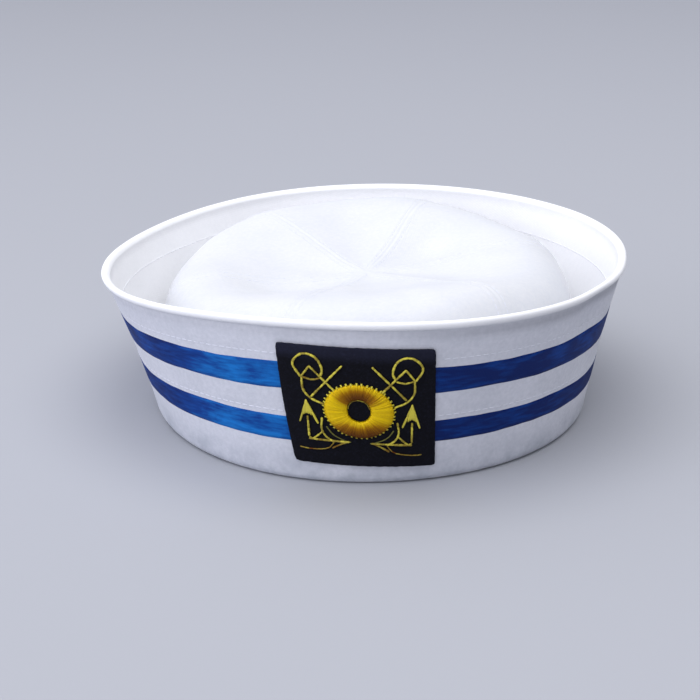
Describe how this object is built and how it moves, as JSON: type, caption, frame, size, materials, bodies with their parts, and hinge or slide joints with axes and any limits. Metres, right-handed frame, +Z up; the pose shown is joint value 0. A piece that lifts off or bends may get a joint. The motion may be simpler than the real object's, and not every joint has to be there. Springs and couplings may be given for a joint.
{
  "type": "sailor hat",
  "caption": "Soft white sailor hat with a sunken round crown, a tall turned-up brim, two blue ribbon stripes and an embroidered nautical patch on the front.",
  "frame": {"origin": "on the surface the hat rests on, under the middle of its outline seen from above", "axes": "+Z up through the crown, -Y towards the front of the hat where the patch is, +X to the right as seen from the front"},
  "size_m": [0.22, 0.2278, 0.0692],
  "materials": {
    "crown_cotton": "matt woven cotton",
    "brim_cotton": "matt woven cotton",
    "blue_ribbon": "soft satin ribbon",
    "navy_felt": "matt felt",
    "gold_thread": "silky embroidery thread"
  },
  "bodies": {
    "root": {"crown": "crown_cotton", "brim": "brim_cotton", "stripe_upper": "blue_ribbon", "stripe_lower": "blue_ribbon", "badge_patch": "navy_felt", "badge_ring": "gold_thread"}
  },
  "joints": []
}
